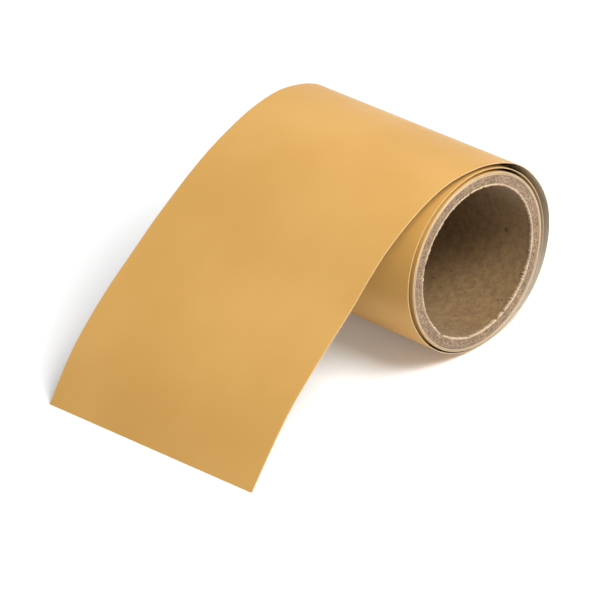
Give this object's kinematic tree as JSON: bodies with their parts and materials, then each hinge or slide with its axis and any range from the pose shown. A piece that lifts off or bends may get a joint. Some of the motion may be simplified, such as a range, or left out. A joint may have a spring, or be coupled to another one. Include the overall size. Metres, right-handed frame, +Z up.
{
  "type": "roll of sign vinyl",
  "caption": "Short roll of gold self-adhesive sign film on a paper liner, wound on a paperboard core, with a free length curving down to the table.",
  "frame": {"origin": "middle of the whole object's footprint, on the surface it lies on", "axes": "+X from the free end towards the roll, +Y along the roll's axis away from the near core end, +Z up"},
  "size_m": [0.2112, 0.13, 0.0938],
  "materials": {
    "gold_film": "satin gold film",
    "adhesive": "clear tacky coat",
    "release_liner": "smooth coated paper",
    "core_kraft": "mottled kraft",
    "core_board": "grey-brown board with a fibrous cut end",
    "starter_tape": "crepe masking tape"
  },
  "bodies": {
    "web": {"wrap_film": "gold_film", "wrap_adhesive": "adhesive", "wrap_liner": "release_liner"},
    "roll": {"core_inner_ply": "core_kraft", "core_body_ply_1": "core_board", "core_body_ply_2": "core_board", "core_body_ply_3": "core_board", "core_outer_ply": "core_kraft", "starter_tape": "starter_tape", "wound_film": "gold_film", "wound_adhesive": "adhesive", "wound_liner": "release_liner"},
    "tail": {"tail_film": "gold_film", "tail_adhesive": "adhesive", "tail_liner": "release_liner"},
    "liner_tip": {"liner_peel_tab": "release_liner"}
  },
  "joints": [
    {"name": "roll_turn", "type": "hinge", "parent": "web", "child": "roll", "pos_m": [0.05497, 0, 0.0455], "axis": [0, -1, 0], "continuous": true},
    {"name": "tail_lift", "type": "hinge", "parent": "web", "child": "tail", "pos_m": [0.01297, 0, 0.08602], "axis": [0, 1, 0], "range_deg": [0, 45], "stiffness_Nm_per_rad": 0.005},
    {"name": "liner_peel", "type": "hinge", "parent": "tail", "child": "liner_tip", "pos_m": [-0.08846, 0, 0.01902], "axis": [0, -1, 0], "range_deg": [0, 100]}
  ]
}
